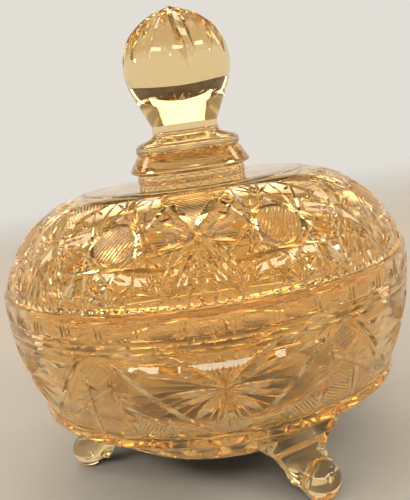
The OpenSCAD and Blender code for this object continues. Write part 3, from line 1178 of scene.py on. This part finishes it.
@dataclass
class Knob:
    """Solid ball with a fluted crown and a pointed tip, on a neck and a round-edged collar."""

    joint_z: float = 116.0
    joint_gap: float = 0.02
    joint_chamfer: float = 0.5
    collar_r: float = 18.9
    collar_h: float = 5.9
    collar_fall: float = 2.8
    collar_round: float = 2.2
    neck_r: float = 12.0
    neck_h: float = 3.5
    neck_cove: float = 2.0
    ball_r: float = 19.2
    ball_rise: float = 29.6
    tip_rise: float = 20.5
    flutes: int = 16
    petal_w: float = 5.4
    petal_high: float = 18.7
    petal_low: float = 1.4
    petal_turn: float = -5.0
    steps: int = 192

    def outline(self) -> Outline:
        """Draw the outline from the joint's middle up to the tip.

        Returns:
            The outline's points.
        """
        base = self.joint_z + self.joint_gap
        collar_z = self.joint_z + self.collar_h
        ball_z = self.joint_z + self.ball_rise
        line: Outline = [
            (0.0, base),
            (self.collar_r - self.joint_chamfer, base),
            (self.collar_r, base + self.joint_chamfer),
        ]
        slope = math.atan2(self.collar_fall, self.collar_r - self.neck_r)
        slant = 1.0 / math.cos(slope)
        edge_r = self.collar_r - self.collar_round
        edge_z = collar_z - (edge_r - self.neck_r) * math.tan(slope) - self.collar_round * slant
        cove = (self.neck_r + self.neck_cove, collar_z + self.neck_cove * (slant - math.tan(slope)))
        line += arc((edge_r, edge_z), self.collar_round, 0.0, 90.0 - math.degrees(slope), steps=9)
        line += arc(cove, self.neck_cove, 270.0 - math.degrees(slope), 180.0, steps=9)
        neck_z = collar_z + self.neck_h
        line.append((self.neck_r, neck_z))
        drop_z = ball_z - neck_z
        touch = math.acos(self.ball_r / math.hypot(self.neck_r, drop_z)) - math.atan2(drop_z, self.neck_r)
        crown = math.degrees(math.asin(self.ball_r / self.tip_rise))
        line += arc((0.0, ball_z), self.ball_r, math.degrees(touch), crown, steps=40)
        line.append((0.0, ball_z + self.tip_rise))
        return line

    def crown(self) -> tuple[list[Cut], RoundFace]:
        """Lay out the petal of the ball's crown.

        Returns:
            The cut, and the ball's face.
        """
        ball_z = self.joint_z + self.ball_rise
        ball = RoundFace(0.0, ball_z, self.ball_r)
        petal = Cut(ball.spot(self.petal_turn, ball_z + self.petal_high),
                    ball.spot(self.petal_turn, ball_z + self.petal_low), self.petal_w, Wheel.PETAL)
        return [petal], ball

    def build(self) -> None:
        """Turn the knob, flute its crown and dress it."""
        knob = as_object(spun(self.outline(), self.steps), "knob_glass")
        bench = Workbench(knob)
        flute, ball = self.crown()
        for i in range(2):
            bench.cut(turned(flute, 360.0 / self.flutes * i), ball, self.flutes // 2)
        bench.finish()
        polish(knob)
        dress(knob, CLEAR_CRYSTAL.material(), "knob", Body.COVER, Slot.CLEAR)


def prism(corners: Sequence[tuple[float, float]], depth: float) -> bmesh.types.BMesh:
    """Push a flat outline up along Z.

    Args:
        corners: Corners in X and Y.
        depth: Height of the push.

    Returns:
        The solid.
    """
    bm = bmesh.new()
    face = bm.faces.new([bm.verts.new((x, y, 0.0)) for x, y in corners])
    made = bmesh.ops.extrude_face_region(bm, geom=[face])["geom"]
    lifted = [g for g in made if isinstance(g, bmesh.types.BMVert)]
    bmesh.ops.translate(bm, vec=(0.0, 0.0, depth), verts=lifted)
    bmesh.ops.recalc_face_normals(bm, faces=bm.faces)
    return bm


def rod(centre: tuple[float, float], radius: float, depth: float, sides: int = 64) -> bmesh.types.BMesh:
    """Make a round rod along Z from zero up.

    Args:
        centre: Its place in X and Y.
        radius: Its radius.
        depth: Its length.
        sides: Sides of its section.

    Returns:
        The solid.
    """
    bm = bmesh.new()
    bmesh.ops.create_cone(bm, cap_ends=True, segments=sides, radius1=radius, radius2=radius, depth=depth)
    bmesh.ops.translate(bm, vec=(centre[0], centre[1], depth / 2.0), verts=bm.verts)
    return bm


@dataclass
class Foot:
    """Applied foot: a winged top laid on the bowl's underside, a waist and an out-turned ball toe."""

    bowl: Bowl
    node: str
    turn: float
    toe_inset: float = 8.8
    toe_r: float = 6.6
    toe_w: float = 14.0
    eye_r: float = 3.2
    eye_depth: float = 0.7
    sole_cut: float = 0.5
    wing_w: float = 31.2
    wing_z: float = 18.8
    wing_inset: float = 14.8
    waist_w: float = 18.4
    waist_z: float = 12.5
    waist_hollow: float = 5.0
    hollow_depth: float = 1.0
    heel_inset: float = 24.3
    leg_t: float = 8.0
    leg_narrowing: float = 0.8
    paw_rise: float = 1.0
    softness: float = 0.4
    melt: float = 0.5
    melt_rounds: int = 20
    crisp: float = 35.0
    seat_gap: float = 0.03

    def side_view(self) -> bpy.types.Object:
        """Shape the foot as seen from its side, pushed across: X runs out from the axis, Z is up.

        Returns:
            The solid, wider than the foot.
        """
        toe = self.bowl.ledge_r - self.toe_inset
        wing = self.bowl.ledge_r - self.wing_inset
        heel = self.bowl.ledge_r - self.heel_inset
        toe_z = self.toe_r - self.sole_cut
        across = self.wing_w + 2.0
        body = as_object(prism([(heel, self.bowl.bottom_z - 1.0), ((heel + toe) / 2.0, self.toe_r / 2.0),
                                (toe, toe_z), (wing, self.waist_z), (wing, self.bowl.edge_z),
                                (heel, self.bowl.edge_z)], across), "foot_body")
        hollow = (wing - self.hollow_depth + self.waist_hollow, self.waist_z + self.waist_hollow / 2.0)
        bm = rod(hollow, self.waist_hollow, across + 2.0)
        bmesh.ops.translate(bm, vec=(0.0, 0.0, -1.0), verts=bm.verts)
        carve(body, [as_object(bm, "foot_hollow")])
        upright = Matrix.Rotation(math.pi / 2.0, 4, "X")
        body.data.transform(Matrix.Translation((0.0, across / 2.0, 0.0)) @ upright)
        return body

    def front_view(self) -> bpy.types.Object:
        """Shape the foot as seen from outside, pushed out from the axis along X.

        Returns:
            The solid, longer than the foot.
        """
        reach = self.bowl.ledge_r
        toe_z = self.toe_w / 2.0 - self.sole_cut
        half, waist, wing = self.toe_w / 2.0, self.waist_w / 2.0, self.wing_w / 2.0
        leg = half - self.leg_narrowing
        body = as_object(prism([(-leg, toe_z), (leg, toe_z), (waist, self.waist_z),
                                (wing, self.wing_z), (wing, self.bowl.edge_z), (-wing, self.bowl.edge_z),
                                (-wing, self.wing_z), (-waist, self.waist_z)], reach), "foot_front")
        carve(body, [as_object(rod((0.0, toe_z), half, reach), "foot_ball")], "UNION")
        upright = Matrix.Rotation(math.pi / 2.0, 4, "X")
        body.data.transform(Matrix.Rotation(math.pi / 2.0, 4, "Z") @ upright)
        return body

    def ball(self, radius: float, aside: float) -> bpy.types.Object:
        """Make a ball aside of the toe's middle, across the foot.

        Args:
            radius: Its radius.
            aside: How far its middle stands aside.

        Returns:
            The ball.
        """
        bm = bmesh.new()
        bmesh.ops.create_icosphere(bm, subdivisions=5, radius=radius)
        toe = self.bowl.ledge_r - self.toe_inset
        bmesh.ops.translate(bm, vec=(toe, aside, self.toe_r - self.sole_cut), verts=bm.verts)
        return as_object(bm, "foot_ball")

    def paw(self) -> bpy.types.Object:
        """Draw the toe out of the leg, as the hull of its ball and of the leg's oval waist.

        Returns:
            The solid.
        """
        toe = self.bowl.ledge_r - self.toe_inset
        wing = self.bowl.ledge_r - self.wing_inset
        half = self.toe_w / 2.0
        bm = bmesh.new()
        ball = bmesh.ops.create_icosphere(bm, subdivisions=4, radius=half)["verts"]
        bmesh.ops.scale(bm, vec=(self.toe_r / half, 1.0, self.toe_r / half), verts=ball)
        bmesh.ops.translate(bm, vec=(toe, 0.0, self.toe_r - self.sole_cut), verts=ball)
        waist = bmesh.ops.create_circle(bm, segments=48, radius=self.waist_w / 2.0)["verts"]
        bmesh.ops.scale(bm, vec=(self.leg_t / self.waist_w, 1.0, 1.0), verts=waist)
        middle = (wing - self.leg_t / 2.0, 0.0, self.waist_z + self.paw_rise)
        bmesh.ops.translate(bm, vec=middle, verts=waist)
        bmesh.ops.delete(bm, geom=bm.edges[:], context="EDGES_FACES")
        hull = bmesh.ops.convex_hull(bm, input=bm.verts[:])
        inner = dict.fromkeys(hull["geom_interior"] + hull["geom_unused"])
        loose = [g for g in inner if isinstance(g, bmesh.types.BMVert)]
        bmesh.ops.delete(bm, geom=loose, context="VERTS")
        bmesh.ops.recalc_face_normals(bm, faces=bm.faces)
        return as_object(bm, "foot_paw")

    def limits(self) -> list[bpy.types.Object]:
        """Make the solids that bound the foot: the bowl above it and the table below it.

        Returns:
            The two solids.
        """
        wide_r = self.bowl.ledge_r + OVERCUT
        top_z = self.bowl.edge_z + OVERCUT
        seat_z = self.bowl.edge_z - self.seat_gap
        low_z = self.bowl.bottom_z - self.seat_gap
        under = spun([(0.0, low_z), (self.bowl.bottom_r + self.seat_gap, low_z),
                      (self.bowl.ledge_r + self.seat_gap, seat_z), (wide_r, seat_z),
                      (wide_r, top_z), (0.0, top_z)])
        table = bmesh.new()
        bmesh.ops.create_cube(table, size=2.0 * wide_r)
        bmesh.ops.translate(table, vec=(0.0, 0.0, -wide_r), verts=table.verts)
        return [as_object(under, "underside"), as_object(table, "table")]

    def build(self) -> None:
        """Shape the foot, soften it as fire does, fit it under the bowl and dress it."""
        foot = self.side_view()
        foot.name = f"{self.node}_glass"
        carve(foot, [self.front_view()], "INTERSECT")
        carve(foot, [self.paw()], "UNION")
        grain = foot.modifiers.new("grain", "REMESH")
        grain.mode = "VOXEL"
        grain.voxel_size = self.softness
        melt = foot.modifiers.new("melt", "SMOOTH")
        melt.factor = self.melt
        melt.iterations = self.melt_rounds
        settle_modifiers(foot)
        carve(foot, [self.ball(self.eye_r, side * (self.toe_w / 2.0 + self.eye_r - self.eye_depth))
                     for side in (-1.0, 1.0)])
        foot.data.transform(Matrix.Rotation(math.radians(self.turn - 90.0), 4, "Z"))
        carve(foot, self.limits())
        polish(foot, math.radians(self.crisp))
        dress(foot, CLEAR_CRYSTAL.material(), self.node, Body.DISH, Slot.CLEAR)


@dataclass(frozen=True)
class SoftBox:
    """Soft box of the studio, turned to the dish.

    Attributes:
        name: Name of the lamp.
        place: Where it hangs, in metres.
        size: Width and height in metres.
        watts: Power.
    """

    name: str
    place: tuple[float, float, float]
    size: tuple[float, float]
    watts: float


@dataclass
class Studio:
    """Pale sweep, soft lamps and the camera at the photograph's angle."""

    camera_reach: float = 239.2
    camera_height: float = 122.84
    pitch: float = 10.62
    lean: float = 7.9
    aside: float = 0.257
    focal_px: float = 647.8
    sensor_mm: float = 36.0
    nearest: float = 0.01
    farthest: float = 20.0
    lamp_colour: str = "#FFEDD2"
    floor_r: float = 1.1
    curve_r: float = 0.5
    wall_h: float = 0.68
    sweep_steps: int = 96
    lit_paper: str = "#CDCED0"
    paper: str = "#E2DED6"
    even_from: float = 0.4
    even_to: float = 1.2
    dim_rise: float = 0.55
    bright_rise: float = 0.75
    room_dim: str = "#4E3D28"
    room_bright: str = "#9F9585"
    aim_z: float = 0.08
    bounces: int = 24
    gloss_bounces: int = 12
    boxes: tuple[SoftBox, ...] = (
        SoftBox("overhead_softbox", (0.0, 0.0, 1.2), (0.5, 0.5), 1.1),
        SoftBox("front_left_strip", (-0.61, -0.51, 0.64), (0.6, 0.12), 2.7),
        SoftBox("front_middle_strip", (0.0, -0.8, 0.64), (0.6, 0.12), 2.7),
        SoftBox("front_right_strip", (0.61, -0.51, 0.64), (0.6, 0.12), 2.7),
        SoftBox("rear_softbox", (0.0, 0.95, 0.97), (1.4, 0.44), 6.1),
        SoftBox("rear_left_strip", (-0.9, 0.45, 0.8), (0.2, 0.6), 1.9),
        SoftBox("rear_right_strip", (0.9, 0.45, 0.8), (0.2, 0.6), 1.9),
        SoftBox("right_lamp", (0.6, -0.1, 0.35), (0.03, 0.03), 0.2),
        SoftBox("left_lamp", (-0.6, 0.05, 0.3), (0.03, 0.03), 0.2),
    )

    def camera(self) -> None:
        """Place the camera in front of the dish."""
        data = bpy.data.cameras.new("photo_camera")
        data.sensor_width = self.sensor_mm
        data.lens = self.focal_px / PHOTO_HEIGHT_PX * self.sensor_mm
        data.clip_start = self.nearest
        data.clip_end = self.farthest
        camera = bpy.data.objects.new("photo_camera", data)
        turn = (Matrix.Rotation(-math.radians(self.aside), 4, "Z")
                @ Matrix.Rotation(math.radians(90.0 - self.pitch), 4, "X")
                @ Matrix.Rotation(-math.radians(self.lean), 4, "Z"))
        place = Vector((0.0, -self.camera_reach, self.camera_height)) * MM
        camera.matrix_world = Matrix.Translation(place) @ turn
        bpy.context.scene.collection.objects.link(camera)
        bpy.context.scene.camera = camera

    def sweep(self) -> None:
        """Round floor that curves up into a low backdrop on all sides."""
        line = [(0.0, 0.0)] + arc((self.floor_r, self.curve_r), self.curve_r, -90.0, 0.0, steps=12)
        line.append((self.floor_r + self.curve_r, self.wall_h))
        bm = spun(line, self.sweep_steps)
        bmesh.ops.reverse_faces(bm, faces=bm.faces)
        for face in bm.faces:
            face.smooth = True
        sweep = as_object(bm, "floor_sweep")
        sweep.data.materials.clear()
        sweep.data.materials.append(self.paper_material())

    def paper_material(self) -> bpy.types.Material:
        """Matt paper: lit near the dish, and an even tone farther off for what is seen of it.

        Returns:
            The material.
        """
        material = bpy.data.materials.new("seamless paper, matt")
        material.use_nodes = True
        tree = material.node_tree
        tree.nodes.clear()
        where = add_node(tree, "ShaderNodeTexCoord").outputs["Object"]
        reach = add_node(tree, "ShaderNodeVectorMath", {"operation": "LENGTH"}, {0: where})
        far = add_node(tree, "ShaderNodeMapRange", {"interpolation_type": "SMOOTHSTEP"}, {
            "Value": reach.outputs["Value"], "From Min": self.even_from, "From Max": self.even_to})
        path = add_node(tree, "ShaderNodeLightPath")
        seen = add_node(tree, "ShaderNodeMath", {"operation": "MAXIMUM"}, {
            0: path.outputs["Is Camera Ray"], 1: path.outputs["Is Glossy Ray"]})
        seen = add_node(tree, "ShaderNodeMath", {"operation": "MAXIMUM"}, {
            0: seen.outputs["Value"], 1: path.outputs["Is Transmission Ray"]})
        share = add_node(tree, "ShaderNodeMath", {"operation": "MULTIPLY"}, {
            0: seen.outputs["Value"], 1: far.outputs["Result"]})
        lit = add_node(tree, "ShaderNodeBsdfDiffuse", inputs={"Color": linear(self.lit_paper)})
        even = add_node(tree, "ShaderNodeEmission", inputs={"Color": linear(self.paper), "Strength": 1.0})
        blend = add_node(tree, "ShaderNodeMixShader", inputs={
            0: share.outputs["Value"], 1: lit.outputs["BSDF"], 2: even.outputs["Emission"]})
        add_node(tree, "ShaderNodeOutputMaterial", inputs={"Surface": blend.outputs["Shader"]})
        return material

    def lamp(self, box: SoftBox) -> None:
        """Hang a soft box and turn it to the dish.

        Args:
            box: The soft box.
        """
        data = bpy.data.lights.new(box.name, "AREA")
        data.shape = "RECTANGLE"
        data.size, data.size_y = box.size
        data.energy = box.watts
        data.color = linear(self.lamp_colour)[:3]
        lamp = bpy.data.objects.new(box.name, data)
        way = Vector((0.0, 0.0, self.aim_z)) - Vector(box.place)
        turn = way.to_track_quat("-Z", "Y").to_matrix().to_4x4()
        lamp.matrix_world = Matrix.Translation(box.place) @ turn
        bpy.context.scene.collection.objects.link(lamp)

    def world(self) -> None:
        """Room round the paper: a wide soft light overhead, and dim walls below it."""
        world = bpy.data.worlds.new("room")
        bpy.context.scene.world = world
        world.use_nodes = True
        tree = world.node_tree
        tree.nodes.clear()
        way = add_node(tree, "ShaderNodeTexCoord").outputs["Generated"]
        rise = add_node(tree, "ShaderNodeSeparateXYZ", inputs={"Vector": way}).outputs["Z"]
        level = add_node(tree, "ShaderNodeMapRange", {"interpolation_type": "SMOOTHSTEP"}, {
            "Value": rise, "From Min": self.dim_rise, "From Max": self.bright_rise})
        tone = add_node(tree, "ShaderNodeMix", {"data_type": "RGBA"}, {
            0: level.outputs["Result"], 6: linear(self.room_dim), 7: linear(self.room_bright)})
        back = add_node(tree, "ShaderNodeBackground", inputs={"Color": tone.outputs[2]})
        add_node(tree, "ShaderNodeOutputWorld", inputs={"Surface": back.outputs["Background"]})

    def build(self) -> None:
        """Set up the studio."""
        scene = bpy.context.scene
        scene.view_settings.view_transform = "Standard"
        scene.cycles.max_bounces = self.bounces
        scene.cycles.transmission_bounces = self.bounces
        scene.cycles.glossy_bounces = self.gloss_bounces
        scene.cycles.caustics_refractive = False
        self.camera()
        self.sweep()
        self.world()
        for box in self.boxes:
            self.lamp(box)


def main() -> None:
    """Build the dish and its studio."""
    logging.basicConfig(level=logging.INFO, format="%(name)s %(message)s")
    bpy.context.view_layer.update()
    Studio().build()
    bowl = Bowl()
    bowl.build()
    for i, node in enumerate(("foot_front", "foot_rear", "foot_left")):
        Foot(bowl, node, FOOT_TURN + 360.0 / FEET * i).build()
    Lid().build()
    Knob().build()


if __name__ == "__main__":
    main()
